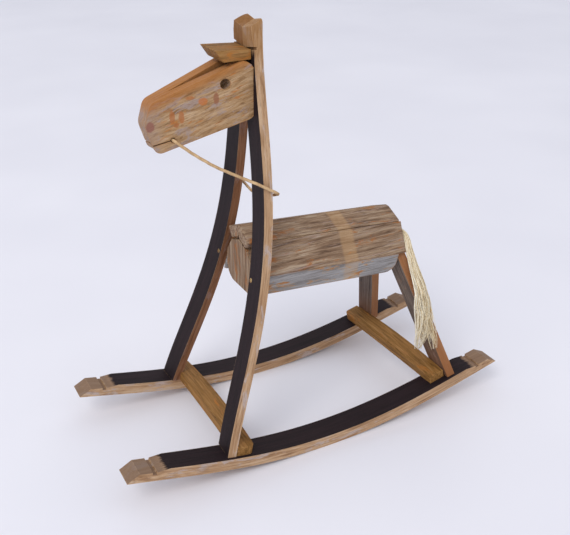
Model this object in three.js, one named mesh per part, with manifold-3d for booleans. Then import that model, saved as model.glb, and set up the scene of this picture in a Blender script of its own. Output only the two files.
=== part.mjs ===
// A child's rocking horse built from the staves of an old wine barrel.
// Millimetres. +X points to the nose, +Y to the horse's left, +Z up. The origin lies on the floor
// under the middle of the two rockers.
import * as THREE from "three";
import { mergeVertices } from "three/addons/utils/BufferGeometryUtils.js";
import Module from "manifold-3d";

const wasm = await Module();
wasm.setup();

// ---- Driving dimensions ------------------------------------------------------------------------

const GAP = 0.3; // between pieces that touch
const STAVE_HALF = 475; // half the length of a whole stave, along its bend
const SIDES = [
  { name: "left", sign: 1 },
  { name: "right", sign: -1 },
];

// A bent stave is tightest in the middle of its length and almost straight at its ends:
// curvature = (1 - flatten * (distance from the middle / half length)^2) / radius.
const ROCKER = {
  radius: 1154,
  flatten: 1.42,
  middle: 0,
  slope: 0,
  thick: 25.9,
  width: 60,
  taper: 0.154, // share of the width lost at each end
  spread: 168, // from the middle of the horse to the middle of a rocker
  facets: 35, // odd, so that one flat facet stands on the floor
};
// What the cooper cut into the concave face at a rocker's ends, as [distance from the tip, height]
const ROCKER_END = [
  [24, 19.7], // end of the bevelled tip
  [51.3, 19.7],
  [51.3, 14.7], // the groove that held the barrel head
  [60.8, 14.7],
  [60.8, 19.7],
  [88, ROCKER.thick], // end of the hollow
];

const NECK = {
  radius: 1147,
  flatten: 2.72,
  middle: 422.6,
  slope: -0.2852, // the foot leans back by this much, in radians
  thick: 19.2,
  width: 55.7,
  taper: 0.05,
  length: 892,
  cutOff: 20, // spare length below the foot, cut away to stand on the rocker
  facets: 30,
  foot: new THREE.Vector3(246.8, 162.2, 52.6),
  lean: 0.1765, // the two staves lean together like a letter A
  cornerRadius: 9, // of the ears
};
const NECK_END = [
  [16, 4.5],
  [33, 3],
  [53, -0.5],
  [53, -6.5],
  [59, -6.5],
  [59, -1.5],
  [80, 0],
];

// The crossbars are short pieces of stave, so they bow upwards and are widest in the middle.
const BAR = { thick: 21, bow: 7.5, taper: 0.13, seat: 1.2, cornerRadius: 11, facets: 14 };
const FRONT_BAR = { rear: 190.6, front: 235.6, left: 189, right: -187 };
const REAR_BAR = { rear: -330, front: -285, left: 178, right: -187 };
const REAR_SKEW = 0.026; // the rear bar and legs stand a little askew, left side back

const LEG = { thick: 20.6, width: 56, back: 0.289, out: 0.375 }; // back and out for each mm down
const LEG_KNEE = new THREE.Vector3(-270.2, 78.5, 283.7); // the middle of the left leg, half way down
const LEG_TOP_LENGTH = 98;
const LEG_FOOT_LENGTH = 252;

const BODY = {
  ridge: new THREE.Vector3(120, 0, 486), // top of the front end
  pitch: 0.0725, // the back slopes down to the rear
  thick: 26,
  front: 0, // of the saddle boards, from the ridge
  spare: 40, // extra length of the other boards, cut back to the neck staves
  rear: -384,
  belly: { rear: -364, cornerRadius: 26 },
};
// Corners of the body's left half, outside, across and up from the ridge
const BODY_SECTION = [
  [0, 0],
  [54, -21.5],
  [88, -87],
  [77.5, -134],
];
const FRONT_BULKHEAD = { thick: 22, halfWidth: 66, sag: 34, drop: 147 };
const REAR_BULKHEAD = { thick: 18, front: -314, hole: 8, holeDrop: 60 };

const CHEEK = { thick: 26, yaw: 0.1258, rear: 97, outerY: 47, outerX: 99 };
// Corners of a cheek seen from the side: distance forward, height, radius of the corner
const CHEEK_OUTLINE = [
  [CHEEK.rear, 846.5, 21],
  [302, 775, 20],
  [316, 734, 28],
  [297, 675, 14],
  [CHEEK.rear, 728.5, 18],
];
const EYE = { x: 155, z: 798.8, radius: 10.5 };
const MOUTH = { x: 262, z: 701.5, radius: 5, slot: 2.4, slotEnd: 690 };

// The board across the poll is a little thinner at the rear.
const POLL = { rear: 97.8, front: 172, undercut: 16, bottom: 838.3, top: 862, halfWidth: 38 };
const POLL_REAR_TOP = 857.5;

const SCREW = { head: 4.6, headDepth: 3.2, shank: 2.3, point: 7, sunk: 0.6, sides: 12 };

// ---- Colours -----------------------------------------------------------------------------------

const finish = (color, roughness, metalness = 0) =>
  new THREE.MeshStandardMaterial({ color, roughness, metalness });
const WINE_STAINED = () => finish(0x2a1a22, 0.7);
const PALE_OAK = () => finish(0xb08a5c, 0.7);
const GREY_OAK = () => finish(0x9a8878, 0.8);
const ORANGE_OAK = () => finish(0x9c6634, 0.65);
const BRASS = () => finish(0xd9b978, 0.35, 1);
const ROPE = () => finish(0xd2b58a, 0.9);
const RAFFIA = () => finish(0xe6dcc4, 0.85);

// ---- Solids ------------------------------------------------------------------------------------

// A closed three.js geometry as a solid that can be cut and joined.
function solidOf(geometry) {
  const bare = geometry.clone();
  bare.deleteAttribute("normal");
  bare.deleteAttribute("uv");
  const merged = mergeVertices(bare, 1e-4);
  return new wasm.Manifold(
    new wasm.Mesh({
      numProp: 3,
      vertProperties: merged.attributes.position.array,
      triVerts: new Uint32Array(merged.index.array),
    }),
  );
}

function geometryOf(solid) {
  const { vertProperties, triVerts } = solid.getMesh();
  const geometry = new THREE.BufferGeometry();
  geometry.setAttribute("position", new THREE.BufferAttribute(vertProperties, 3));
  geometry.setIndex(new THREE.BufferAttribute(triVerts, 1));
  geometry.computeVertexNormals();
  return geometry;
}

const extrude = (points, depth) =>
  new THREE.ExtrudeGeometry(new THREE.Shape(points), { depth, bevelEnabled: false });

// Points give length and height; the plate reaches across from yMin to yMax.
function sidePlate(points, yMin, yMax) {
  return extrude(points, yMax - yMin).rotateX(Math.PI / 2).translate(0, yMax, 0);
}

// Points give width and height; the plate reaches from xMin to xMax.
function endPlate(points, xMin, xMax) {
  const turn = new THREE.Matrix4().makeBasis(
    new THREE.Vector3(0, 1, 0),
    new THREE.Vector3(0, 0, 1),
    new THREE.Vector3(1, 0, 0),
  );
  return extrude(points, xMax - xMin).applyMatrix4(turn).translate(xMin, 0, 0);
}

// Points give length and width; the plate reaches from zMin to zMax.
function topPlate(points, zMin, zMax) {
  return extrude(points, zMax - zMin).translate(0, 0, zMin);
}

const corner = ([x, y]) => new THREE.Vector2(x, y);

// A closed outline whose corners, [x, y, radius], are rounded by arcs.
function rounded(corners, steps = 5) {
  return corners.flatMap(([x, y, radius], i) => {
    const here = new THREE.Vector2(x, y);
    if (!radius) return [here];
    const before = corner(corners.at(i - 1)).sub(here).normalize();
    const after = corner(corners[(i + 1) % corners.length]).sub(here).normalize();
    const half = before.angleTo(after) / 2;
    const toCentre = before.clone().add(after).normalize();
    const centre = here.clone().addScaledVector(toCentre, radius / Math.sin(half));
    const start = here.clone().addScaledVector(before, radius / Math.tan(half));
    const turn = Math.sign(before.cross(after)) * (Math.PI - 2 * half);
    return Array.from({ length: steps + 1 }, (_, step) =>
      start.clone().rotateAround(centre, (-turn * step) / steps),
    );
  });
}

// ---- Pieces ------------------------------------------------------------------------------------

// A piece is a geometry in its own frame; cuts are stated in the horse's frame.
class Piece {
  constructor(name, geometry, frame, material) {
    this.name = name;
    this.solid = geometry.isBufferGeometry ? solidOf(geometry) : geometry;
    this.frame = frame;
    this.material = material;
  }

  cut(...tools) {
    const inward = this.frame.clone().invert();
    for (const tool of tools)
      this.solid = this.solid.subtract(solidOf(tool.clone().applyMatrix4(inward)));
    return this;
  }

  mesh() {
    const mesh = new THREE.Mesh(geometryOf(this.solid), this.material);
    mesh.name = this.name;
    this.frame.decompose(mesh.position, mesh.quaternion, mesh.scale);
    return mesh;
  }
}

const frameAt = (position, rotation = new THREE.Euler()) =>
  new THREE.Matrix4().makeRotationFromEuler(rotation).setPosition(position);

// ---- Bent staves -------------------------------------------------------------------------------

// The point at a distance along a bent face, and at an offset towards its hollow side.
function bentLine({ radius, flatten, middle, slope }) {
  const bend = (s) => {
    const u = s - middle;
    return (u - (flatten * u ** 3) / (3 * STAVE_HALF ** 2)) / radius;
  };
  const angle = (s) => slope + bend(s) - bend(0);
  const pointAt = (s, offset) => {
    const steps = 48;
    const point = new THREE.Vector2();
    for (let i = 0; i < steps; i++) {
      const heading = angle(((i + 0.5) / steps) * s);
      point.x += (Math.cos(heading) * s) / steps;
      point.y += (Math.sin(heading) * s) / steps;
    }
    point.x -= offset * Math.sin(angle(s));
    point.y += offset * Math.cos(angle(s));
    return point;
  };
  return { angle, pointAt };
}

const spaced = (from, to, count) =>
  Array.from({ length: count + 1 }, (_, i) => from + ((to - from) * i) / count);

const widthAt = (stave, s) => stave.width * (1 - stave.taper * ((s - stave.middle) / STAVE_HALF) ** 2);

// ---- Rockers -----------------------------------------------------------------------------------

const rockerLine = bentLine(ROCKER);
const FLOOR = rockerLine.pointAt(STAVE_HALF / ROCKER.facets, 0).y; // height of the standing facet

// The side view of a rocker, made fatter by grow when it is used to cut what stands on it.
function rockerOutline(grow) {
  const place = (s, height) => rockerLine.pointAt(s, height).sub(new THREE.Vector2(0, FLOOR));
  const bottom = spaced(-STAVE_HALF, STAVE_HALF, ROCKER.facets).map((s) => place(s, -grow));
  const hollow = ROCKER_END.at(-1)[0];
  const top = spaced(STAVE_HALF - hollow, hollow - STAVE_HALF, ROCKER.facets - 6)
    .slice(1, -1)
    .map((s) => place(s, ROCKER.thick + grow));
  const front = ROCKER_END.map(([back, height]) => place(STAVE_HALF - back, height + grow));
  const rear = ROCKER_END.map(([back, height]) => place(back - STAVE_HALF, height + grow)).reverse();
  return [...bottom, ...front, ...top, ...rear];
}

function rockerPlan() {
  const edge = spaced(-STAVE_HALF, STAVE_HALF, 16);
  const left = edge.map((x) => new THREE.Vector2(x, widthAt(ROCKER, x) / 2));
  const right = edge.map((x) => new THREE.Vector2(x, -widthAt(ROCKER, x) / 2));
  return [...right, ...left.reverse()];
}

function makeRocker({ name, sign }) {
  const side = solidOf(sidePlate(rockerOutline(0), -ROCKER.width, ROCKER.width));
  const plan = solidOf(topPlate(rockerPlan(), -10, 140));
  const frame = frameAt(new THREE.Vector3(0, sign * ROCKER.spread, 0));
  return new Piece(`rocker_${name}`, side.intersect(plan), frame, WINE_STAINED());
}

const rockerClearance = sidePlate(rockerOutline(GAP), -250, 250);

// A frame that lies flat on the rockers between two distances from the middle.
function frameOnRockers(rear, front) {
  const back = rockerLine.pointAt(rear, ROCKER.thick + GAP);
  const ahead = rockerLine.pointAt(front, ROCKER.thick + GAP);
  const middle = back.clone().add(ahead).divideScalar(2);
  const slope = ahead.clone().sub(back).angle();
  return frameAt(
    new THREE.Vector3(middle.x, 0, middle.y - FLOOR - BAR.seat),
    new THREE.Euler(0, -slope, 0),
  );
}

// ---- Crossbars ---------------------------------------------------------------------------------

// A bowed bar across the rockers; its corner number roundedCorner is knocked off.
function makeBar(name, { rear, front, left, right }, roundedCorner, skew = new THREE.Matrix4()) {
  const middle = (left + right) / 2;
  const reach = (left - right) / 2;
  const rise = (y) => BAR.bow * (1 - ((y - middle) / reach) ** 2);
  const half = (y) => ((front - rear) / 2) * (1 - BAR.taper * ((y - middle) / reach) ** 2);
  const across = spaced(right, left, BAR.facets);
  const under = across.map((y) => new THREE.Vector2(y, rise(y)));
  const over = across.map((y) => new THREE.Vector2(y, rise(y) + BAR.thick)).reverse();
  const inner = across.slice(1, -1);
  const corners = [
    ...[right, ...inner, left].map((y) => [half(y), y, 0]),
    ...[left, ...inner.reverse(), right].map((y) => [-half(y), y, 0]),
  ];
  corners.at(roundedCorner)[2] = BAR.cornerRadius;
  const band = solidOf(endPlate([...under, ...over], rear - front, front - rear));
  const plan = solidOf(topPlate(rounded(corners), -BAR.thick, 3 * BAR.thick));
  const frame = skew.clone().multiply(frameOnRockers(rear, front));
  return new Piece(name, band.intersect(plan), frame, ORANGE_OAK()).cut(rockerClearance);
}

// ---- Neck staves, which are the front legs, the neck and the ears -------------------------------

const neckLine = bentLine(NECK);

// Side view in the stave's own frame: length up the stave, then distance forward.
function neckOutline(grow) {
  const hollow = NECK_END.at(-1)[0];
  const rear = spaced(-NECK.cutOff, NECK.length, NECK.facets).map((s) =>
    neckLine.pointAt(s, -NECK.thick - grow),
  );
  const front = spaced(NECK.length - hollow, -NECK.cutOff, NECK.facets - 3)
    .slice(1)
    .map((s) => neckLine.pointAt(s, grow));
  const end = NECK_END.map(([back, height]) => neckLine.pointAt(NECK.length - back, height + grow));
  return [...rear, ...end, ...front];
}

function neckPlan(grow) {
  const top = neckLine.pointAt(NECK.length, -NECK.thick).x;
  const edge = spaced(-80, top, 12);
  const half = (s) => widthAt(NECK, s) / 2 + grow;
  const right = edge.slice(0, -1).map((l) => [-half(l), l, 0]);
  const left = edge.slice(0, -1).map((l) => [half(l), l, 0]);
  const radius = NECK.cornerRadius;
  const ears = [
    [half(top), top + grow, radius],
    [-half(top), top + grow, radius],
  ];
  return rounded([...left, ...ears, ...right.reverse()]).reverse();
}

function neckFrame(sign) {
  const position = NECK.foot.clone().multiply(new THREE.Vector3(1, sign, 1));
  return frameAt(position, new THREE.Euler(sign * NECK.lean, 0, 0));
}

function neckSolid(grow) {
  const upright = neckOutline(grow).map(({ x, y }) => new THREE.Vector2(y, x)).reverse();
  const reach = NECK.width;
  return solidOf(sidePlate(upright, -reach, reach)).intersect(
    solidOf(endPlate(neckPlan(grow), -400, 200)),
  );
}

const neckClearance = (sign) => geometryOf(neckSolid(GAP)).applyMatrix4(neckFrame(sign));

// Everything on the other side of the middle plane, less half a gap.
function otherSide(sign) {
  const width = 200;
  return new THREE.BoxGeometry(800, width, 1200).translate(200, (sign * (GAP - width)) / 2, 500);
}

// The two staves are trimmed where their inner edges would cross, so the ears stand side by side.
function makeNeckStave({ name, sign }) {
  const stave = new Piece(`neck_stave_${name}`, neckSolid(0), neckFrame(sign), WINE_STAINED());
  return stave.cut(rockerClearance, otherSide(sign));
}

// A point on a neck stave: distance up from its foot, offset forward from its dark face, and
// distance across from its middle line, outwards.
function onNeck(sign, distance, offset, outwards) {
  const { x, y } = neckLine.pointAt(distance, offset);
  return new THREE.Vector3(y, sign * outwards, x).applyMatrix4(neckFrame(sign));
}

// The space ahead of a neck stave's rear face, which the body's boards stop at.
function spaceAheadOfNeck(sign) {
  const rear = spaced(200, 600, 16).map((s) => neckLine.pointAt(s, -NECK.thick - GAP));
  const outline = rear.map(({ x, y }) => new THREE.Vector2(y, x));
  const ahead = [new THREE.Vector2(200, outline.at(-1).y), new THREE.Vector2(200, outline[0].y)];
  return sidePlate([...outline, ...ahead].reverse(), -90, 90).applyMatrix4(neckFrame(sign));
}

// ---- Body --------------------------------------------------------------------------------------

const bodyFrame = frameAt(BODY.ridge, new THREE.Euler(0, -BODY.pitch, 0));

// The corners of the section moved inwards by a depth, by crossing the moved edges.
function bodyInside(depth) {
  const outside = [[-54, -21.5], ...BODY_SECTION].map(corner);
  const edges = outside.slice(0, -1).map((from, i) => {
    const along = outside[i + 1].clone().sub(from).normalize();
    const inward = new THREE.Vector2(along.y, -along.x);
    return { from: from.clone().addScaledVector(inward, depth), along };
  });
  const crossings = edges.slice(0, -1).map((edge, i) => {
    const next = edges[i + 1];
    const reach = next.from.clone().sub(edge.from).cross(next.along) / edge.along.cross(next.along);
    return edge.from.clone().addScaledVector(edge.along, reach);
  });
  const last = edges.at(-1);
  const length = outside.at(-1).distanceTo(outside.at(-2));
  return [...crossings, last.from.clone().addScaledVector(last.along, length)];
}

// The section of board number i of the body's left half, with half a gap left at each mitre.
function boardSection(i, grow) {
  const outer = bodyInside(-grow);
  const inner = bodyInside(BODY.thick + grow);
  const trim = GAP / 2 - grow;
  const mitre = (from, to) => to.clone().sub(from).normalize().multiplyScalar(trim);
  const shift = mitre(outer[i], outer[i + 1]);
  return [
    outer[i].clone().add(shift),
    outer[i + 1].clone().sub(shift),
    inner[i + 1].clone().sub(shift),
    inner[i].clone().add(shift),
  ];
}

const mirrored = (points, sign) =>
  sign > 0 ? points : points.map(({ x, y }) => new THREE.Vector2(-x, y)).reverse();

function bodyBoard(index, sign, front, rear, grow = 0) {
  return endPlate(mirrored(boardSection(index, grow), sign), rear, front);
}

function makeSaddleBoard({ name, sign }) {
  const board = bodyBoard(0, sign, BODY.front, BODY.rear);
  return new Piece(`saddle_board_${name}`, board, bodyFrame, GREY_OAK());
}

// The space that the front bulkhead stands in, with all that is above and ahead of it.
function bulkheadSpace() {
  const { thick, halfWidth } = FRONT_BULKHEAD;
  const depth = 80;
  const block = new THREE.BoxGeometry(depth, 2 * (halfWidth + GAP), 400);
  return block.translate(BODY.ridge.x - thick - GAP + depth / 2, 0, BODY.ridge.z - 100);
}

function makeFlankBoard({ name, sign }) {
  const board = bodyBoard(1, sign, BODY.spare, BODY.rear);
  const piece = new Piece(`flank_board_${name}`, board, bodyFrame, GREY_OAK());
  return piece.cut(spaceAheadOfNeck(sign), bulkheadSpace());
}

// The lowest board, whose lower rear corner is rounded.
function makeBellyBoard({ name, sign }) {
  const { rear, cornerRadius } = BODY.belly;
  const board = solidOf(bodyBoard(2, sign, BODY.spare, rear));
  const bottom = BODY_SECTION.at(-1)[1];
  const side = rounded([
    [rear, bottom, cornerRadius],
    [BODY.spare + 1, bottom, 0],
    [BODY.spare + 1, 0, 0],
    [rear, 0, 0],
  ]);
  const shaped = board.intersect(solidOf(sidePlate(side, -120, 120)));
  const piece = new Piece(`belly_board_${name}`, shaped, bodyFrame, GREY_OAK());
  return piece.cut(spaceAheadOfNeck(sign), bulkheadSpace());
}

// The front bulkhead stands between the neck staves and carries the saddle boards.
function makeFrontBulkhead() {
  const { thick, halfWidth, sag, drop } = FRONT_BULKHEAD;
  const half = [
    [0, -sag, 0],
    [38, -sag - 15, 10],
    [halfWidth - 3, -sag - 46, 24],
    [halfWidth, -sag - 76, 18],
    [halfWidth - 6, -sag - 102, 18],
    [40, -drop, 20],
  ];
  const other = half.slice(1).map(([y, z, r]) => [-y, z, r]);
  const outline = rounded([...half, ...other.reverse()], 3).reverse();
  const frame = frameAt(BODY.ridge);
  return new Piece("front_bulkhead", endPlate(outline, -thick, 0), frame, GREY_OAK());
}

// The rear bulkhead fills the hollow body just ahead of the legs.
function makeRearBulkhead() {
  const inside = bodyInside(BODY.thick + GAP);
  const left = inside.slice(0, 3);
  left.push(new THREE.Vector2(inside[3].x, inside[3].y + 6));
  const right = mirrored(left.slice(1), -1);
  const outline = [...right, ...left].reverse();
  const { front, thick, hole, holeDrop } = REAR_BULKHEAD;
  const plate = endPlate(outline, front - thick, front);
  const piece = new Piece("rear_bulkhead", plate, bodyFrame, GREY_OAK());
  const bore = new THREE.CylinderGeometry(hole, hole, 4 * thick, 20).rotateZ(Math.PI / 2);
  return piece.cut(bore.translate(front - thick / 2, 0, -holeDrop).applyMatrix4(bodyFrame));
}

// ---- Rear legs ---------------------------------------------------------------------------------

// The turn about an upright axis, where the rear bar stands, that sets the rear bar and legs askew.
const rearSkew = new THREE.Matrix4()
  .makeTranslation(-316, 0, 0)
  .multiply(new THREE.Matrix4().makeRotationZ(REAR_SKEW))
  .multiply(new THREE.Matrix4().makeTranslation(316, 0, 0));

function legFrame(sign) {
  const up = new THREE.Vector3(LEG.back, -sign * LEG.out, 1).normalize();
  const ahead = new THREE.Vector3(1, 0, -LEG.back).normalize();
  const across = new THREE.Vector3().crossVectors(up, ahead);
  const knee = LEG_KNEE.clone().multiply(new THREE.Vector3(1, sign, 1));
  return rearSkew
    .clone()
    .multiply(new THREE.Matrix4().makeBasis(ahead, across, up).setPosition(knee));
}

function makeRearLeg({ name, sign }) {
  const outline = [
    [-LEG.thick / 2, -LEG.width / 2],
    [LEG.thick / 2, -LEG.width / 2],
    [LEG.thick / 2, LEG.width / 2],
    [-LEG.thick / 2, LEG.width / 2],
  ].map(corner);
  const board = topPlate(outline, -LEG_FOOT_LENGTH, LEG_TOP_LENGTH);
  const piece = new Piece(`rear_leg_${name}`, board, legFrame(sign), ORANGE_OAK());
  const hull = [0, 1, 2].map((i) => {
    const rear = i === 2 ? BODY.belly.rear : BODY.rear;
    return bodyBoard(i, sign, BODY.front, rear - GAP, GAP).applyMatrix4(bodyFrame);
  });
  return piece.cut(rockerClearance, ...hull);
}

// ---- Head --------------------------------------------------------------------------------------

function cheekFrame(sign) {
  const position = new THREE.Vector3(CHEEK.outerX, sign * CHEEK.outerY, 0);
  return frameAt(position, new THREE.Euler(0, 0, -sign * CHEEK.yaw));
}

// A round bar across the whole head, for the holes that go through both cheeks.
function crossHole({ x, z, radius }) {
  const sides = 20;
  return new THREE.CylinderGeometry(radius, radius, 160, sides).translate(x, 0, z);
}

function mouthSlot() {
  const { x, z, slot, slotEnd } = MOUTH;
  const reach = 60;
  const slope = Math.atan2(slotEnd - z, reach);
  return new THREE.BoxGeometry(reach + 20, 160, slot)
    .translate((reach + 20) / 2, 0, 0)
    .rotateY(-slope)
    .translate(x, 0, z);
}

function makeCheek({ name, sign }) {
  const flat = CHEEK_OUTLINE.map(([x, z, r]) => [x - CHEEK.outerX, z, r]);
  const outline = rounded(flat).reverse();
  const [inner, outer] = sign > 0 ? [-CHEEK.thick, 0] : [0, CHEEK.thick];
  const plate = sidePlate(outline, inner, outer);
  const piece = new Piece(`cheek_${name}`, plate, cheekFrame(sign), PALE_OAK());
  return piece.cut(
    otherSide(sign),
    neckClearance(sign),
    crossHole(EYE),
    crossHole(MOUTH),
    mouthSlot(),
  );
}

function makePoll() {
  const { rear, front, undercut, bottom, top, halfWidth } = POLL;
  const outline = [
    [rear, bottom],
    [front - undercut, bottom],
    [front, top],
    [rear, POLL_REAR_TOP],
  ].map(corner);
  const board = sidePlate(outline, -halfWidth, halfWidth);
  return new Piece("poll_board", board, new THREE.Matrix4(), ORANGE_OAK());
}

// ---- Screws ------------------------------------------------------------------------------------

// A countersunk screw that points up its +Y axis; grow makes the hole that it sits in.
function screwGeometry(length, grow = 0) {
  const { head, headDepth, shank, point, sunk, sides } = SCREW;
  const profile = [
    [0, grow ? -12 : 0],
    [head + grow, grow ? -12 : 0],
    [head + grow, 0.5],
    [shank + grow, headDepth + 0.5],
    [shank + grow, length - point + grow],
    [0, length + 3 * grow],
  ].map(([r, y]) => new THREE.Vector2(r, y + sunk));
  return new THREE.LatheGeometry(profile, sides);
}

function makeScrew(name, at, direction, length, drilled) {
  const up = new THREE.Vector3(0, 1, 0);
  const turn = new THREE.Quaternion().setFromUnitVectors(up, direction.clone().normalize());
  const frame = new THREE.Matrix4().makeRotationFromQuaternion(turn).setPosition(at);
  const hole = screwGeometry(length, GAP).applyMatrix4(frame);
  for (const piece of drilled) piece.cut(hole);
  return new Piece(name, screwGeometry(length), frame, BRASS());
}

// Small brass screws in the neck staves' dark faces, driven back into the ends of the belly boards.
function neckScrew({ name, sign }, stave, board) {
  const at = onNeck(sign, 369, 0, -19);
  const direction = new THREE.Vector3(-1, -sign * 0.1, -0.05);
  return makeScrew(`neck_screw_${name}`, at, direction, 48, [stave, board]);
}

const underRocker = (distance, y) => {
  const { x, y: z } = rockerLine.pointAt(distance, 0);
  return new THREE.Vector3(x, y, z - FLOOR);
};

function footScrew({ name, sign }, rocker, stave) {
  const direction = new THREE.Vector3(-0.272, -sign * 0.178, 0.946);
  const at = underRocker(248, sign * 167);
  return makeScrew(`foot_screw_${name}`, at, direction, 68, [rocker, stave]);
}

function barScrew(which, distance, { name, sign }, rocker, bar) {
  const slope = rockerLine.angle(distance);
  const direction = new THREE.Vector3(-Math.sin(slope), 0, Math.cos(slope));
  const at = underRocker(distance, sign * 158);
  return makeScrew(`${which}_bar_screw_${name}`, at, direction, 41, [rocker, bar]);
}

function cheekScrew({ name, sign }, stave, cheek) {
  const at = onNeck(sign, 750, -NECK.thick, 0);
  return makeScrew(`cheek_screw_${name}`, at, new THREE.Vector3(1, 0, 0), 55, [stave, cheek]);
}

// ---- Rein --------------------------------------------------------------------------------------

const REIN_RADIUS = 3.2;
// From inside the left mouth hole, round behind both neck staves, to inside the right mouth hole.
// The right half hangs a little lower than the left.
const REIN_ROUTE = [
  [262, 6, 701.5],
  [262, 22, 701.5],
  [261, 29.5, 700.5],
  [256.5, 35.5, 696.5],
  [246, 40, 687.5],
  [230, 45.5, 674],
  [212, 52, 660.5],
  [190, 61, 645.5],
  [164, 72, 631.5],
  [140, 83, 619],
  [119, 92.5, 608.5],
  [101, 98.5, 598],
  [84, 99.5, 587.5],
  [73, 93, 579],
  [70, 76, 571],
  [72, 52, 562],
  [75, 26, 553],
  [76, 0, 548],
  [75, -26, 547],
  [73, -52, 548.5],
  [71, -78, 551],
  [74, -96, 556],
  [86, -103.8, 563],
  [103, -103.3, 571.5],
  [119, -96, 582],
  [140, -85, 597.5],
  [164, -73, 616],
  [190, -61, 637],
  [212, -52, 656],
  [230, -45.5, 673],
  [246, -40, 687],
  [256.5, -35.5, 696.5],
  [261, -29.5, 700.5],
  [262, -22, 701.5],
  [262, -6, 701.5],
];

function reinRoute() {
  const points = REIN_ROUTE.map((p) => new THREE.Vector3(...p));
  return new THREE.CatmullRomCurve3(points, false, "centripetal");
}

function makeRein() {
  const section = new THREE.Shape();
  section.absarc(0, 0, REIN_RADIUS, 0, 2 * Math.PI);
  const rope = new THREE.ExtrudeGeometry(section, {
    steps: 60,
    curveSegments: 8,
    extrudePath: reinRoute(),
  });
  return new Piece("rein", rope, new THREE.Matrix4(), ROPE());
}

// ---- Tail --------------------------------------------------------------------------------------

// The tail is knotted ahead of the rear bulkhead, comes out under the saddle, passes behind the left
// leg and lies on the leg's outer face, where it parts into two tufts. Each station is a centre,
// a half width and a half depth.
const TAIL_ROOT = [
  [[-172, 0, 403.5], 9, 9],
  [[-184, 0, 402.6], 10, 10],
  [[-187, 0, 402.4], 6, 6],
  [[-212, 0, 401], 6, 6],
  [[-237, 3, 401.5], 7, 7],
  [[-257, 15, 402.5], 8, 8],
  [[-269, 36, 403], 8, 7],
  [[-271, 56, 401], 8, 6],
  [[-269.5, 71, 393], 8, 5.5],
  [[-269, 80.5, 376], 9, 5],
  [[-270.5, 91, 354], 10, 5.5],
  [[-272.5, 102.5, 328], 12, 6],
  [[-280, 117.5, 290], 15, 7],
  [[-281.5, 131.5, 249], 20, 7.5],
];
const FRONT_TUFT = [
  ...TAIL_ROOT,
  [[-277, 146.5, 206], 19, 7],
  [[-268, 149.5, 176], 13, 6],
  [[-262, 148, 146], 6, 3],
];
const REAR_TUFT = [
  [[-281.5, 131.5, 249], 12, 6],
  [[-285.5, 141.5, 222], 13, 6.5],
  [[-290, 149.5, 200], 12, 6.5],
  [[-293.5, 160, 172], 10, 6],
  [[-294.5, 168.5, 148], 5, 3],
];
const TAIL_SIDES = 12;

// A tapered sweep: a closed cylinder whose rings are moved onto the stations.
function sweep(stations) {
  const rings = stations.length - 1;
  const tube = new THREE.CylinderGeometry(1, 1, rings, TAIL_SIDES, rings);
  const centres = stations.map(([centre]) => new THREE.Vector3(...centre));
  const outward = new THREE.Vector3(0.1, 0.93, 0.36).normalize();
  const position = tube.getAttribute("position");
  for (let i = 0; i < position.count; i++) {
    const ring = Math.round(rings / 2 - position.getY(i));
    const ahead = centres[Math.min(ring + 1, rings)];
    const behind = centres[Math.max(ring - 1, 0)];
    const along = ahead.clone().sub(behind).normalize();
    const across = new THREE.Vector3().crossVectors(along, outward).normalize();
    const thick = new THREE.Vector3().crossVectors(across, along);
    const [, width, depth] = stations[ring];
    const point = centres[ring]
      .clone()
      .addScaledVector(across, -width * position.getX(i))
      .addScaledVector(thick, depth * position.getZ(i));
    position.setXYZ(i, point.x, point.y, point.z);
  }
  return solidOf(tube);
}

function makeTail() {
  const bunch = sweep(FRONT_TUFT).add(sweep(REAR_TUFT));
  return new Piece("tail", bunch, new THREE.Matrix4(), RAFFIA());
}

// ---- The horse ---------------------------------------------------------------------------------

function buildHorse() {
  const rockers = SIDES.map(makeRocker);
  const necks = SIDES.map(makeNeckStave);
  const frontBar = makeBar("front_crossbar", FRONT_BAR, BAR.facets + 1);
  const rearBar = makeBar("rear_crossbar", REAR_BAR, 0, rearSkew);
  frontBar.cut(neckClearance(1), neckClearance(-1));
  const bellies = SIDES.map(makeBellyBoard);
  const cheeks = SIDES.map(makeCheek);
  const screws = SIDES.flatMap((side, i) => [
    neckScrew(side, necks[i], bellies[i]),
    footScrew(side, rockers[i], necks[i]),
    barScrew("front", 213, side, rockers[i], frontBar),
    barScrew("rear", -307.5, side, rockers[i], rearBar),
    cheekScrew(side, necks[i], cheeks[i]),
  ]);
  return [
    ...rockers,
    ...necks,
    frontBar,
    rearBar,
    ...SIDES.map(makeRearLeg),
    ...SIDES.map(makeSaddleBoard),
    ...SIDES.map(makeFlankBoard),
    ...bellies,
    makeFrontBulkhead(),
    makeRearBulkhead(),
    ...cheeks,
    makePoll(),
    makeRein(),
    makeTail(),
    ...screws,
  ];
}

const horse = new THREE.Group();
horse.add(...buildHorse().map((piece) => piece.mesh()));

export default horse;
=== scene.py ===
import math
import random

import bpy
import numpy as np
from mathutils import Matrix, Vector


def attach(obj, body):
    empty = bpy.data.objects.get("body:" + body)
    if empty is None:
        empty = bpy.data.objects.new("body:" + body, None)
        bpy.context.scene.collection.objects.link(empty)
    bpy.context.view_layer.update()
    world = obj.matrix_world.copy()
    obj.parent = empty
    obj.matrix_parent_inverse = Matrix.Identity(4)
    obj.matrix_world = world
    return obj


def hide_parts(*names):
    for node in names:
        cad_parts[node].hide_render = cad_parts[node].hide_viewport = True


# A rocking horse made of the staves of an old wine barrel. Metres; +X to the nose, +Y to the
# horse's left, +Z up.

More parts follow.
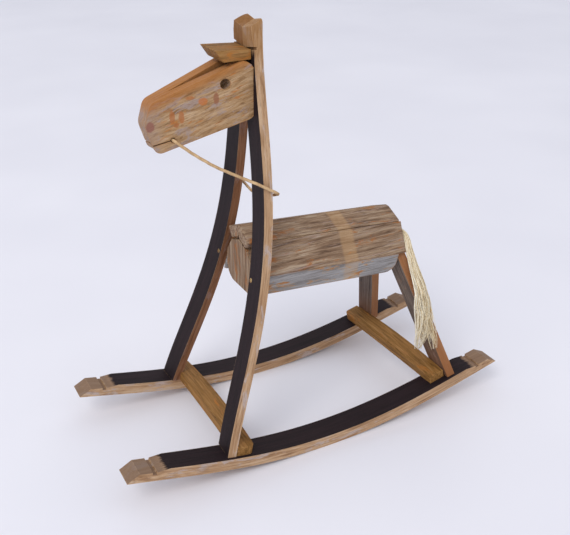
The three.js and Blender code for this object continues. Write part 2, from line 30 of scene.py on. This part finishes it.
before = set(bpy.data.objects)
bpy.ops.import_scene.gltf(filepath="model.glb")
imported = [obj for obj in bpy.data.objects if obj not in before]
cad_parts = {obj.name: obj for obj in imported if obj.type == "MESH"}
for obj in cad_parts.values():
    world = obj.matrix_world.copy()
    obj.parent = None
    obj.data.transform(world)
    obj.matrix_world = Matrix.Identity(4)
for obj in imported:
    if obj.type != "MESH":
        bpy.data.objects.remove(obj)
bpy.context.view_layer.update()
rng = random.Random(12)


# ---- Camera ------------------------------------------------------------------------------------

CAMERA_PLACE = Vector((0.796, 1.487, 1.198))
CAMERA_AZIMUTH = math.radians(152.12)
CAMERA_ELEVATION = math.radians(26.51)
CAMERA_ROLL = math.radians(-0.41)
CAMERA_LENS = 53.15


def add_camera():
    data = bpy.data.cameras.new("camera")
    data.lens = CAMERA_LENS
    data.sensor_fit = "HORIZONTAL"
    camera = bpy.data.objects.new("camera", data)
    bpy.context.scene.collection.objects.link(camera)
    back = Vector((
        math.sin(CAMERA_AZIMUTH) * math.cos(CAMERA_ELEVATION),
        -math.cos(CAMERA_AZIMUTH) * math.cos(CAMERA_ELEVATION),
        math.sin(CAMERA_ELEVATION),
    ))
    level = Vector((math.cos(CAMERA_AZIMUTH), math.sin(CAMERA_AZIMUTH), 0))
    across = Matrix.Rotation(CAMERA_ROLL, 3, back) @ level
    turn = Matrix((across, back.cross(across), back)).transposed()
    camera.matrix_world = Matrix.Translation(CAMERA_PLACE) @ turn.to_4x4()
    bpy.context.scene.camera = camera


# ---- Meshes ------------------------------------------------------------------------------------

def add_mesh(name, points, faces, material, smooth=True):
    mesh = bpy.data.meshes.new(name)
    mesh.from_pydata(points, [], faces)
    mesh.materials.append(material)
    mesh.polygons.foreach_set("use_smooth", [smooth] * len(mesh.polygons))
    piece = bpy.data.objects.new(name, mesh)
    bpy.context.scene.collection.objects.link(piece)
    return piece


def curve_point(before, start, end, after, t):
    """The point t of the way from start to end on a centripetal curve through four points."""
    knots = [0.0]
    for a, b in ((before, start), (start, end), (end, after)):
        knots.append(knots[-1] + math.sqrt((b - a).length))
    at = knots[1] + t * (knots[2] - knots[1])

    def between(i, j, a, b):
        return a.lerp(b, (at - knots[i]) / (knots[j] - knots[i]))

    first = between(0, 1, before, start)
    second = between(1, 2, start, end)
    third = between(2, 3, end, after)
    return between(1, 2, between(0, 2, first, second), between(1, 3, second, third))


def smooth_route(points, steps):
    """Points along the smooth curve through the given points, with steps to each stretch."""
    points = [Vector(p) for p in points]
    ends = [2 * points[0] - points[1], *points, 2 * points[-1] - points[-2]]
    route = []
    for i in range(len(points) - 1):
        for step in range(steps):
            route.append(curve_point(*ends[i:i + 4], step / steps))
    return route + [points[-1]]


def tube(route, section):
    """Points and faces of a closed tube; section(i, along) gives the points round ring i."""
    points = []
    for i in range(len(route)):
        ahead = route[min(i + 1, len(route) - 1)]
        behind = route[max(i - 1, 0)]
        points += section(i, (ahead - behind).normalized())
    sides = len(points) // len(route)
    faces = []
    for ring in range(len(route) - 1):
        for side in range(sides):
            a = ring * sides + side
            b = ring * sides + (side + 1) % sides
            faces.append((a, b, b + sides, a + sides))
    faces.append(tuple(reversed(range(sides))))
    faces.append(tuple(range(len(points) - sides, len(points))))
    return points, faces


# ---- Finishes ----------------------------------------------------------------------------------

# The colour sockets of a Mix node
MIX_FROM = 6
MIX_TO = 7
MIX_RESULT = 2


def linear(red, green, blue):
    """A colour given as it looks on screen, from 0 to 255, in linear light."""
    levels = [c / 255 for c in (red, green, blue)]
    return tuple(c / 12.92 if c <= 0.04045 else ((c + 0.055) / 1.055) ** 2.4 for c in levels) + (1,)


class Finish:
    """A material that is built up node by node; its methods return the sockets they make."""

    def __init__(self, name):
        self.material = bpy.data.materials.new(name)
        self.material.use_nodes = True
        self.tree = self.material.node_tree
        self.surface = self.tree.nodes["Principled BSDF"]
        self.place = self.node("ShaderNodeTexCoord").outputs["Object"]

    def node(self, kind, inputs=None, **settings):
        node = self.tree.nodes.new(kind)
        for key, value in settings.items():
            setattr(node, key, value)
        for key, value in (inputs or {}).items():
            self.put(node.inputs[key], value)
        return node

    def put(self, socket, value):
        if isinstance(value, bpy.types.NodeSocket):
            self.tree.links.new(value, socket)
        else:
            socket.default_value = value

    def attribute(self, name):
        return self.node("ShaderNodeAttribute", attribute_name=name)

    def noise(self, vector, scale, detail=4.0, roughness=0.55, distortion=0.0):
        inputs = {
            "Vector": vector,
            "Scale": scale,
            "Detail": detail,
            "Roughness": roughness,
            "Distortion": distortion,
        }
        return self.node("ShaderNodeTexNoise", inputs).outputs["Fac"]

    def long_noise(self, vector, scales, detail=4.0, roughness=0.55, distortion=0.0):
        """Noise that changes at a different rate, per metre, along each axis."""
        node = self.node("ShaderNodeMapping", {"Vector": vector, "Scale": scales})
        return self.noise(node.outputs["Vector"], 1, detail, roughness, distortion)

    def ramp(self, factor, stops):
        """A colour for each level of factor; stops are (level, colour)."""
        node = self.node("ShaderNodeValToRGB", {"Fac": factor})
        elements = node.color_ramp.elements
        while len(elements) < len(stops):
            elements.new(1.0)
        for element, (level, colour) in zip(elements, stops):
            element.position = level
            element.color = linear(*colour)
        return node.outputs["Color"]

    def step(self, value, low, high):
        """0 where value is under low, rising smoothly to 1 at high; low may be over high."""
        rising = low < high
        inputs = {
            "Value": value,
            "From Min": min(low, high),
            "From Max": max(low, high),
            "To Min": 0.0 if rising else 1.0,
            "To Max": 1.0 if rising else 0.0,
        }
        node = self.node("ShaderNodeMapRange", inputs, interpolation_type="SMOOTHSTEP")
        return node.outputs["Result"]

    def math(self, operation, *values):
        node = self.node("ShaderNodeMath", operation=operation)
        for socket, value in zip(node.inputs, values):
            self.put(socket, value)
        return node.outputs[0]

    def times(self, a, b):
        return self.math("MULTIPLY", a, b)

    def plus(self, a, b):
        return self.math("ADD", a, b)

    def vector_math(self, operation, a, b, result="Vector"):
        node = self.node("ShaderNodeVectorMath", operation=operation)
        self.put(node.inputs[0], a)
        self.put(node.inputs[1], b)
        return node.outputs[result]

    def blend(self, factor, a, b, kind="MIX"):
        node = self.node("ShaderNodeMix", data_type="RGBA", blend_type=kind)
        self.put(node.inputs[0], factor)
        self.put(node.inputs[MIX_FROM], a)
        self.put(node.inputs[MIX_TO], b)
        return node.outputs[MIX_RESULT]

    def along(self, axis):
        """The distance along a world axis."""
        return self.node("ShaderNodeSeparateXYZ", {"Vector": self.place}).outputs[axis]

    def normal(self):
        return self.node("ShaderNodeNewGeometry").outputs["Normal"]

    def facing(self, direction):
        """How squarely the surface faces a direction, from -1 to 1."""
        return self.vector_math("DOT_PRODUCT", self.normal(), direction, "Value")

    def arrises(self, radius):
        """1 on the worn edges of a board, 0 on its flat faces."""
        rounded = self.node("ShaderNodeBevel", {"Radius": radius}, samples=4)
        return self.step(self.facing(rounded.outputs["Normal"]), 0.995, 0.9)

    def near(self, centre, size, ragged):
        """1 inside a ragged blot at a place, 0 outside it; size is its half extent each way."""
        share = self.vector_math("DIVIDE", self.vector_math("SUBTRACT", self.place, centre), size)
        reach = self.node("ShaderNodeVectorMath", operation="LENGTH")
        self.put(reach.inputs[0], share)
        return self.step(self.plus(reach.outputs["Value"], ragged), 1.55, 1.2)

    def finish(self, colour, roughness, height, depth):
        """Wires the colour, roughness and relief up to the surface."""
        bump = self.node("ShaderNodeBump", {"Height": height, "Strength": 0.8, "Distance": depth})
        self.put(self.surface.inputs["Base Color"], colour)
        self.put(self.surface.inputs["Roughness"], roughness)
        self.put(self.surface.inputs["Normal"], bump.outputs["Normal"])
        return self.material


# How fast each marking of the wood changes along and across the grain, per metre
PORES = (22, 620, 620)
RINGS = (7, 130, 130)
PATCH = (14, 45, 45)
STREAK = (5, 170, 170)

NOISE_MIDDLE = (0.32, 0.68)  # the levels that nearly all of a noise lies between
WOOD_SHINE = 0.22
WOOD_ROUGHNESS = (0.82, 0.6)  # in the pores, and between them
WOOD_RELIEF = 0.0007


class Wood(Finish):
    """Bare or weathered oak. Its grain runs along X of the attribute called grain."""

    def __init__(self, name, tones, patches, furrow):
        super().__init__(name)
        self.surface.inputs["Specular IOR Level"].default_value = WOOD_SHINE
        self.grain = self.attribute("grain").outputs["Vector"]
        self.lines = self.long_noise(self.grain, PORES, 6, 0.7, 0.4)
        self.rings = self.long_noise(self.grain, RINGS, 6, 0.65, 0.6)
        self.colour = self.ramp(self.rings, self.spread(tones))
        for shade, coverage, scales in patches:
            spot = self.long_noise(self.grain, scales, 6, 0.7, 0.5)
            self.tint(self.step(spot, 0.7 - 0.3 * coverage, 0.8 - 0.3 * coverage), shade, 0.85)
        self.tint(self.step(self.lines, 0.5, 0.34), furrow, 0.6)

    @staticmethod
    def spread(tones):
        """Puts the tones, dark to light, at even levels of the middle of the noise's range."""
        low, high = NOISE_MIDDLE
        last = len(tones) - 1
        return [(low + (high - low) * i / last, tone) for i, tone in enumerate(tones)]

    def tint(self, mask, shade, strength):
        self.colour = self.blend(self.times(mask, strength), self.colour, linear(*shade))

    def ragged(self, distance):
        """An offset, up to a distance in metres, that makes the edge of a mark follow the grain."""
        return self.times(self.rings, distance)

    def wear(self, shade, strength, radius=0.0022):
        """Rubbed arrises."""
        rubbed = self.times(self.arrises(radius), self.step(self.rings, 0.35, 0.6))
        self.tint(rubbed, shade, strength)

    def done(self):
        height = self.plus(self.lines, self.times(self.rings, 0.7))
        rough, smooth = WOOD_ROUGHNESS
        inputs = {"Value": self.lines, "To Min": rough, "To Max": smooth}
        roughness = self.node("ShaderNodeMapRange", inputs).outputs["Result"]
        return self.finish(self.colour, roughness, height, WOOD_RELIEF)


HOOP_REAR = (-0.128, -0.120)  # where the hoop mark fades in, from the rear
HOOP_FRONT = (-0.086, -0.094)


def add_hoop_mark(wood):
    """The faint band where a hoop kept the weather off."""
    uneven = wood.plus(wood.along("X"), wood.ragged(0.01))
    inside = wood.times(wood.step(uneven, *HOOP_REAR), wood.step(uneven, *HOOP_FRONT))
    wood.tint(inside, (196, 156, 108), 0.3)


def silver_oak():
    """The saddle, flanks and bulkheads: silver-brown, with orange stains and a hoop mark."""
    tones = [(84, 62, 46), (128, 102, 80), (152, 128, 104), (176, 156, 134)]
    patches = [
        ((158, 98, 46), 0.5, PATCH),
        ((158, 152, 150), 0.5, STREAK),
        ((156, 104, 58), 0.4, STREAK),
    ]
    wood = Wood("silver_oak", tones, patches, (62, 44, 34))
    add_hoop_mark(wood)
    wood.wear((196, 160, 116), 0.5)
    return wood.done()


def painted_oak():
    """The belly boards: worn blue-grey paint with the wood showing through."""
    tones = [(100, 94, 90), (138, 134, 132), (158, 156, 156), (176, 170, 164)]
    patches = [
        ((190, 166, 130), 0.6, PATCH),
        ((164, 104, 54), 0.55, PATCH),
        ((110, 94, 82), 0.4, STREAK),
    ]
    wood = Wood("painted_oak", tones, patches, (76, 66, 60))
    add_hoop_mark(wood)
    wood.wear((170, 116, 62), 0.85, 0.004)
    return wood.done()


# Blots of old rust-red paint on the left cheek: place, half extents, colour
CHEEK_BLOTS = [
    ((0.3035, 0.021, 0.731), (0.009, 0.02, 0.011), (136, 84, 74)),
    ((0.2610, 0.026, 0.746), (0.006, 0.02, 0.015), (166, 100, 54)),
    ((0.2540, 0.027, 0.7295), (0.006, 0.02, 0.005), (160, 96, 52)),
    ((0.2430, 0.029, 0.744), (0.006, 0.02, 0.014), (166, 100, 54)),
    ((0.2250, 0.031, 0.779), (0.010, 0.02, 0.004), (170, 108, 64)),
    ((0.2000, 0.034, 0.770), (0.010, 0.02, 0.008), (184, 106, 48)),
    ((0.1740, 0.037, 0.773), (0.006, 0.02, 0.013), (140, 88, 64)),
    ((0.1330, 0.043, 0.771), (0.006, 0.02, 0.003), (170, 112, 66)),
]
NOSE = (0.27, 0.31)  # where the nose's grey fades in, along X
FACE_SLOPE = 0.36  # fall of the face's top edge for each metre forward
FACE_TOP = (0.868, 0.89)  # where the top edge's orange fades in, in height at X = 0


def pale_oak():
    """The cheeks: tan, with orange streaks, lilac-grey weathering and blots of rust-red paint."""
    tones = [(122, 90, 60), (158, 124, 86), (176, 144, 108), (190, 162, 130)]
    patches = [
        ((176, 112, 52), 0.45, STREAK),
        ((160, 142, 134), 0.6, PATCH),
        ((146, 104, 60), 0.3, PATCH),
    ]
    wood = Wood("pale_oak", tones, patches, (98, 70, 46))
    wood.tint(wood.step(wood.along("X"), *NOSE), (150, 128, 118), 0.45)
    crumbled = wood.noise(wood.place, 260, 6, 0.75)
    for centre, size, shade in CHEEK_BLOTS:
        wood.tint(wood.near(centre, size, crumbled), shade, 0.75)
    level = wood.plus(wood.along("Z"), wood.times(wood.along("X"), FACE_SLOPE))
    top = wood.step(wood.plus(level, wood.ragged(0.02)), *FACE_TOP)
    wood.tint(top, (166, 102, 38), 0.7)
    wood.wear((168, 108, 48), 0.7, 0.003)
    return wood.done()


def warm_oak():
    """Crossbars and poll board: orange-brown with grey-green weathering."""
    tones = [(92, 62, 28), (130, 92, 44), (150, 108, 58), (168, 128, 78)]
    patches = [
        ((120, 108, 84), 0.55, PATCH),
        ((172, 108, 38), 0.55, PATCH),
        ((84, 56, 30), 0.3, STREAK),
    ]
    wood = Wood("warm_oak", tones, patches, (78, 54, 28))
    wood.wear((184, 140, 84), 0.6)
    return wood.done()


LEG_FOOT = (0.2, 0.06)  # where the orange of the feet fades in, from above


def leg_oak():
    """The rear legs: dark grey-brown faces, orange on the narrow sides and towards the floor."""
    tones = [(70, 58, 54), (98, 84, 76), (118, 104, 94), (138, 122, 106)]
    patches = [
        ((150, 100, 54), 0.45, PATCH),
        ((128, 124, 124), 0.4, PATCH),
        ((70, 52, 44), 0.3, STREAK),
    ]
    wood = Wood("leg_oak", tones, patches, (54, 42, 36))
    sideways = wood.math("ABSOLUTE", wood.facing((0, 1, 0)))
    wood.tint(wood.step(sideways, 0.6, 0.8), (168, 108, 56), 0.65)
    wood.tint(wood.step(wood.along("Z"), *LEG_FOOT), (132, 82, 46), 0.5)
    wood.wear((172, 118, 66), 0.7)
    return wood.done()


def stave_oak(name):
    """The bare sides of rockers and neck staves: tan with grey-pink weathering."""
    tones = [(132, 98, 68), (168, 132, 98), (188, 154, 120), (204, 178, 150)]
    patches = [
        ((182, 118, 62), 0.45, PATCH),
        ((182, 170, 164), 0.55, PATCH),
        ((116, 78, 54), 0.4, STREAK),
    ]
    return Wood(name, tones, patches, (104, 76, 54))


def add_wine_stain(wood, hollow_side, reach):
    """The hollow side of a stave held the wine and is stained almost black."""
    inside = wood.step(wood.facing(hollow_side), 0.78, 0.86)
    wine = wood.ramp(wood.rings, [(0.3, (20, 10, 14)), (0.7, (40, 25, 29))])
    wood.colour = wood.blend(wood.times(inside, reach), wood.colour, wine)


ROCKER_TIP = (0.37, 0.41)  # where the bare grey wood of the tips fades in, either way from X = 0
STAIN_REAR = (-0.412, -0.402)  # where the stain fades in along X, from each end of a rocker
STAIN_FRONT = (0.400, 0.390)


def rocker_oak():
    wood = stave_oak("rocker_oak")
    along = wood.along("X")
    ragged = wood.ragged(0.02)
    out = wood.step(wood.plus(wood.math("ABSOLUTE", along), ragged), *ROCKER_TIP)
    upwards = wood.step(wood.facing((0, 0, 1)), 0.2, 0.5)
    wood.tint(wood.times(out, upwards), (122, 98, 80), 0.85)
    rear = wood.step(wood.math("SUBTRACT", along, ragged), *STAIN_REAR)
    front = wood.step(wood.plus(along, ragged), *STAIN_FRONT)
    add_wine_stain(wood, (0, 0, 1), wood.times(rear, front))
    wood.wear((206, 176, 140), 0.4)
    return wood.done()


EAR_TAN = (0.84, 0.88)  # where the tan of the ears fades in, in height
EAR_STAIN = (0.875, 0.858)  # where the stain fades in below the ears


def neck_oak():
    wood = stave_oak("neck_oak")
    # The right-hand (far) stave is made more orange and darker. Partly its own oilier colour,
    # partly painted shade for the side away from the key light, in the left stave's shadow.
    right_stave = wood.step(wood.along("Y"), 0.0, -0.004)
    orange_and_painted_shade = wood.blend(0.75, wood.colour, linear(150, 100, 66), "MULTIPLY")
    wood.colour = wood.blend(right_stave, wood.colour, orange_and_painted_shade)
    height = wood.plus(wood.along("Z"), wood.ragged(0.03))
    wood.tint(wood.step(height, *EAR_TAN), (142, 98, 44), 0.55)
    add_wine_stain(wood, (1, 0, 0), wood.step(height, *EAR_STAIN))
    wood.wear((206, 172, 130), 0.4)
    return wood.done()


def screw_brass():
    brass = Finish("screw_brass")
    brass.surface.inputs["Metallic"].default_value = 0.9
    grime = brass.noise(brass.place, 900, 3)
    colour = brass.ramp(grime, [(0.35, (120, 92, 52)), (0.6, (216, 186, 124))])
    return brass.finish(colour, brass.step(grime, 0.75, 0.25), grime, 0.0002)


def twisted_rope():
    rope = Finish("twisted_rope")
    fibres = rope.noise(rope.place, 900)
    wear = rope.noise(rope.place, 45, 3)
    colour = rope.ramp(wear, [(0.35, (176, 140, 96)), (0.65, (216, 184, 140))])
    dust = rope.times(rope.step(fibres, 0.55, 0.35), 0.5)
    colour = rope.blend(dust, colour, linear(132, 98, 62))
    return rope.finish(colour, rope.step(fibres, 1.6, -0.4), fibres, 0.0004)


def dry_raffia():
    raffia = Finish("dry_raffia")
    strand = raffia.attribute("strand").outputs["Fac"]
    tones = [(0.0, (196, 164, 110)), (0.3, (232, 214, 174)), (1.0, (252, 246, 228))]
    colour = raffia.ramp(strand, tones)
    streaks = raffia.long_noise(raffia.place, (420, 420, 60))
    brown = raffia.times(raffia.step(streaks, 0.45, 0.3), 0.6)
    colour = raffia.blend(brown, colour, linear(170, 136, 84))
    return raffia.finish(colour, raffia.step(streaks, 1.4, -0.5), streaks, 0.0003)


def studio_floor():
    floor = Finish("studio_floor")
    mottle = floor.noise(floor.place, 1.2, 2)
    colour = floor.ramp(mottle, [(0.3, (228, 228, 236)), (0.7, (234, 234, 241))])
    return floor.finish(colour, floor.step(mottle, -1.0, 1.4), mottle, 0.0001)


# ---- The CAD boards ----------------------------------------------------------------------------

X, Y, Z = 0, 1, 2
SHORT_EDGE = 0.0016  # rounding worn onto the arrises of most boards
ARRIS_ANGLE = math.radians(32)  # flatter edges than this are the facets of a bend
BEND_ORDER = 4
CHEEK_GRAIN = Matrix.Rotation(math.radians(-19), 3, "Y")  # turns the face's slope level
LEG_LEAN = {"left": (0.289, -0.375, 1), "right": (0.289, 0.375, 1)}


def lay_grain(board, along, turn, bent):
    """Writes the grain attribute: distance along the board, then the two ways across it.

    along is the axis nearest the board's length, after the turn if there is one. A bent board's
    grain follows its bend, found as a curve through the board's own points.
    """
    points = np.empty(len(board.data.vertices) * 3)
    board.data.vertices.foreach_get("co", points)
    points = points.reshape(-1, 3)
    if turn is not None:
        points = points @ np.array(turn).T
    order = [along] + [axis for axis in (X, Y, Z) if axis != along]
    local = points[:, order]
    if bent:
        for across in (1, 2):
            bend = np.polyfit(local[:, 0], local[:, across], BEND_ORDER)
            local[:, across] -= np.polyval(bend, local[:, 0])
    local += [rng.uniform(-5, 5) for _ in range(3)]
    attribute = board.data.attributes.new("grain", "FLOAT_VECTOR", "POINT")
    attribute.data.foreach_set("vector", local.ravel())


def soften(board, width, segments):
    """Rounds a board's arrises and smooths the facets of its bends."""
    if "custom_normal" in board.data.attributes:
        board.data.attributes.remove(board.data.attributes["custom_normal"])
    board.data.polygons.foreach_set("use_smooth", [True] * len(board.data.polygons))
    weld = board.modifiers.new("weld", "WELD")
    weld.merge_threshold = 0.00002
    edges = board.modifiers.new("worn_arrises", "BEVEL")
    edges.width = width
    edges.segments = segments
    edges.limit_method = "ANGLE"
    edges.angle_limit = ARRIS_ANGLE
    shading = board.modifiers.new("even_shading", "WEIGHTED_NORMAL")
    shading.weight = 100


def coat(node, material):
    node.data.materials.clear()
    node.data.materials.append(material)


def dress(name, material, along, width=SHORT_EDGE, segments=2, turn=None, bent=False):
    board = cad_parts[name]
    lay_grain(board, along, turn, bent)
    soften(board, width, segments)
    coat(board, material)


def dress_boards():
    silver = silver_oak()
    painted = painted_oak()
    pale = pale_oak()
    warm = warm_oak()
    legs = leg_oak()
    rocker = rocker_oak()
    neck = neck_oak()
    brass = screw_brass()
    for side in ("left", "right"):
        dress(f"rocker_{side}", rocker, X, bent=True)
        dress(f"neck_stave_{side}", neck, Z, bent=True)
        dress(f"saddle_board_{side}", silver, X, 0.006, 4)
        dress(f"flank_board_{side}", silver, X, 0.002)
        dress(f"belly_board_{side}", painted, X, 0.0025)
        dress(f"cheek_{side}", pale, X, 0.005, 4, CHEEK_GRAIN)
        upright = Vector(LEG_LEAN[side]).rotation_difference(Vector((0, 0, 1))).to_matrix()
        dress(f"rear_leg_{side}", legs, Z, turn=upright)
        for screw in ("neck", "foot", "front_bar", "rear_bar", "cheek"):
            coat(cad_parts[f"{screw}_screw_{side}"], brass)
    dress("front_crossbar", warm, Y, 0.003)
    dress("rear_crossbar", warm, Y, 0.003)
    dress("poll_board", warm, X, 0.002)
    dress("front_bulkhead", silver, Z, 0.004, 3)
    dress("rear_bulkhead", silver, Z)


# ---- Rein --------------------------------------------------------------------------------------

REIN_DIAMETER = 0.0064
# From inside the left mouth hole, round behind both neck staves, to inside the right mouth hole
REIN_ROUTE = [
    (0.262, 0.006, 0.7015),
    (0.262, 0.022, 0.7015),
    (0.261, 0.0295, 0.7005),
    (0.2565, 0.0355, 0.6965),
    (0.246, 0.040, 0.6875),
    (0.230, 0.0455, 0.674),
    (0.212, 0.052, 0.6605),
    (0.190, 0.061, 0.6455),
    (0.164, 0.072, 0.6315),
    (0.140, 0.083, 0.619),
    (0.119, 0.0925, 0.6085),
    (0.101, 0.0985, 0.598),
    (0.084, 0.0995, 0.5875),
    (0.073, 0.093, 0.579),
    (0.070, 0.076, 0.571),
    (0.072, 0.052, 0.562),
    (0.075, 0.026, 0.553),
    (0.076, 0.0, 0.548),
    (0.075, -0.026, 0.547),
    (0.073, -0.052, 0.5485),
    (0.071, -0.078, 0.551),
    (0.074, -0.096, 0.556),
    (0.086, -0.1038, 0.563),
    (0.103, -0.1033, 0.5715),
    (0.119, -0.096, 0.582),
    (0.140, -0.085, 0.5975),
    (0.164, -0.073, 0.616),
    (0.190, -0.061, 0.637),
    (0.212, -0.052, 0.656),
    (0.230, -0.0455, 0.673),
    (0.246, -0.040, 0.687),
    (0.2565, -0.0355, 0.6965),
    (0.261, -0.0295, 0.7005),
    (0.262, -0.022, 0.7015),
    (0.262, -0.006, 0.7015),
]
ROUTE_STEPS = 7  # points of the rope for each stretch of its route
ROPE_STRANDS = 3
ROPE_TWIST = 0.022  # length of one turn
ROPE_SIDES = 18
ROPE_GROOVE = 0.13  # depth of the groove between two strands, as a share of the radius


def add_rein():
    route = smooth_route(REIN_ROUTE, ROUTE_STEPS)
    side = Vector((0, 0, 1))
    reach = 0.0

    def section(i, along):
        """The ring of points round point i of the route, turned on from the ring before."""
        nonlocal side, reach
        side = (side - along * side.dot(along)).normalized()
        if i:
            reach += (route[i] - route[i - 1]).length
        turn = 2 * math.pi * reach / ROPE_TWIST
        ring = []
        for step in range(ROPE_SIDES):
            angle = 2 * math.pi * step / ROPE_SIDES
            groove = abs(math.sin(ROPE_STRANDS * (angle + turn / ROPE_STRANDS) / 2)) ** 3
            radius = REIN_DIAMETER / 2 * (1 - ROPE_GROOVE * groove)
            outwards = side * math.cos(angle) + along.cross(side) * math.sin(angle)
            ring.append(route[i] + outwards * radius)
        return ring

    points, faces = tube(route, section)
    rein = add_mesh("rope_rein", points, faces, twisted_rope())
    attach(rein, "root")
    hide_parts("rein")


# ---- Tail --------------------------------------------------------------------------------------

# Stations of the bunch of raffia: centre, half width across the bunch, half depth outwards
TAIL_ROOT = [
    ((-0.190, 0, 0.4022), 0.0055, 0.0055),
    ((-0.212, 0, 0.401), 0.006, 0.006),
    ((-0.237, 0.003, 0.4015), 0.007, 0.007),
    ((-0.257, 0.015, 0.4025), 0.008, 0.008),
    ((-0.269, 0.036, 0.403), 0.008, 0.007),
    ((-0.271, 0.056, 0.401), 0.008, 0.006),
    ((-0.2695, 0.071, 0.393), 0.008, 0.0055),
    ((-0.269, 0.0805, 0.376), 0.009, 0.005),
    ((-0.2705, 0.091, 0.354), 0.010, 0.0055),
    ((-0.2725, 0.1025, 0.328), 0.012, 0.006),
    ((-0.280, 0.1175, 0.290), 0.015, 0.007),
    ((-0.2815, 0.1315, 0.249), 0.019, 0.0075),
]
FRONT_TUFT = TAIL_ROOT + [
    ((-0.277, 0.1465, 0.206), 0.018, 0.007),
    ((-0.268, 0.1495, 0.176), 0.013, 0.006),
    ((-0.262, 0.148, 0.146), 0.007, 0.004),
]
REAR_TUFT = TAIL_ROOT + [
    ((-0.2855, 0.1415, 0.222), 0.014, 0.0065),
    ((-0.290, 0.1495, 0.200), 0.012, 0.0065),
    ((-0.2935, 0.160, 0.172), 0.010, 0.006),
    ((-0.2945, 0.1685, 0.148), 0.006, 0.004),
]
TAIL_OUTWARD = Vector((0.1, 0.93, 0.36)).normalized()
FRONT_STRANDS = 95
REAR_STRANDS = 60
RAFFIA_HALF_WIDTH = (0.0007, 0.0014)
RAFFIA_HALF_THICKNESS = (0.0002, 0.0004)
CUT_SHORT = (0, 0, 0.3, 0.6, 1.0, 1.5, 2.1)  # stations that a strand may end before the last
STRAND_STEPS = 3  # points of a strand for each stretch between stations
SHORTEST_STRAND = 6  # in points


def strand_route(stations):
    """One strand's way down a tuft, a little off the tuft's own line, and cut off ragged."""
    angle = rng.uniform(0, 2 * math.pi)
    reach = math.sqrt(rng.uniform(0.02, 1.0))
    across, out = reach * math.cos(angle), reach * math.sin(angle)
    stop = len(stations) - rng.choice(CUT_SHORT)
    drift = rng.uniform(-0.9, 0.9)
    sway = rng.uniform(0, 2 * math.pi)
    points = []
    for i, (centre, width, depth) in enumerate(stations):
        ahead = Vector(stations[min(i + 1, len(stations) - 1)][0])
        behind = Vector(stations[max(i - 1, 0)][0])
        along = (ahead - behind).normalized()
        side = along.cross(TAIL_OUTWARD).normalized()
        loose = (i / len(stations)) ** 3
        stray = loose * (drift + 0.5 * math.sin(sway + 1.7 * i))
        share = max(-1.25, min(1.25, across + stray))
        offset = side * share * width + side.cross(along) * out * depth
        points.append(Vector(centre) + offset)
    route = smooth_route(points, STRAND_STEPS)
    return route[:max(SHORTEST_STRAND, round(STRAND_STEPS * stop) - 2)]


def add_strand(mesh_points, mesh_faces, shades, stations):
    """Adds one flat, twisted strand and a random shade for each of its points."""
    route = strand_route(stations)
    width = rng.uniform(*RAFFIA_HALF_WIDTH)
    thick = rng.uniform(*RAFFIA_HALF_THICKNESS)
    twist = rng.uniform(-2.5, 2.5)
    start = rng.uniform(0, math.pi)
    last = len(route) - 1

    def section(i, along):
        side = along.cross(TAIL_OUTWARD).normalized()
        out = side.cross(along)
        turn = start + twist * i / last
        flat = side * math.cos(turn) + out * math.sin(turn)
        through = out * math.cos(turn) - side * math.sin(turn)
        taper = 1 - 0.75 * max(0.0, (i / last - 0.8) / 0.2)
        edge = flat * width * taper
        face = through * thick
        return [route[i] + edge, route[i] + face, route[i] - edge, route[i] - face]

    points, faces = tube(route, section)
    base = len(mesh_points)
    mesh_points += points
    mesh_faces += [tuple(base + corner for corner in face) for face in faces]
    shades += [rng.random()] * len(points)


def add_tail():
    points, faces, shades = [], [], []
    for _ in range(FRONT_STRANDS):
        add_strand(points, faces, shades, FRONT_TUFT)
    for _ in range(REAR_STRANDS):
        add_strand(points, faces, shades, REAR_TUFT)
    tail = add_mesh("raffia_tail", points, faces, dry_raffia())
    strand = tail.data.attributes.new("strand", "FLOAT", "POINT")
    strand.data.foreach_set("value", shades)
    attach(tail, "root")
    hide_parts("tail")


# ---- Studio ------------------------------------------------------------------------------------

FLOOR_REACH = 30
SKY_COLOUR = (0.93, 0.94, 1.0, 1)
SKY_STRENGTH = 0.86
KEY_PLACE = (5.0, 4.0, 7.0)
KEY_SIZE = 4.5
KEY_POWER = 300
KEY_COLOUR = (1.0, 0.98, 0.95)


def add_floor():
    corners = [(-1, -1), (1, -1), (1, 1), (-1, 1)]
    points = [(x * FLOOR_REACH, y * FLOOR_REACH, 0) for x, y in corners]
    add_mesh("studio_floor", points, [(0, 1, 2, 3)], studio_floor(), smooth=False)


def add_light():
    scene = bpy.context.scene
    scene.view_settings.view_transform = "Standard"
    scene.world = bpy.data.worlds.new("studio")
    scene.world.use_nodes = True
    sky = scene.world.node_tree.nodes["Background"]
    sky.inputs["Color"].default_value = SKY_COLOUR
    sky.inputs["Strength"].default_value = SKY_STRENGTH
    data = bpy.data.lights.new("key", "AREA")
    data.shape = "DISK"
    data.size = KEY_SIZE
    data.energy = KEY_POWER
    data.color = KEY_COLOUR
    key = bpy.data.objects.new("key", data)
    scene.collection.objects.link(key)
    key.location = KEY_PLACE
    key.rotation_euler = Vector(KEY_PLACE).to_track_quat("Z", "Y").to_euler()


add_camera()
add_rein()
dress_boards()
add_tail()
add_floor()
add_light()
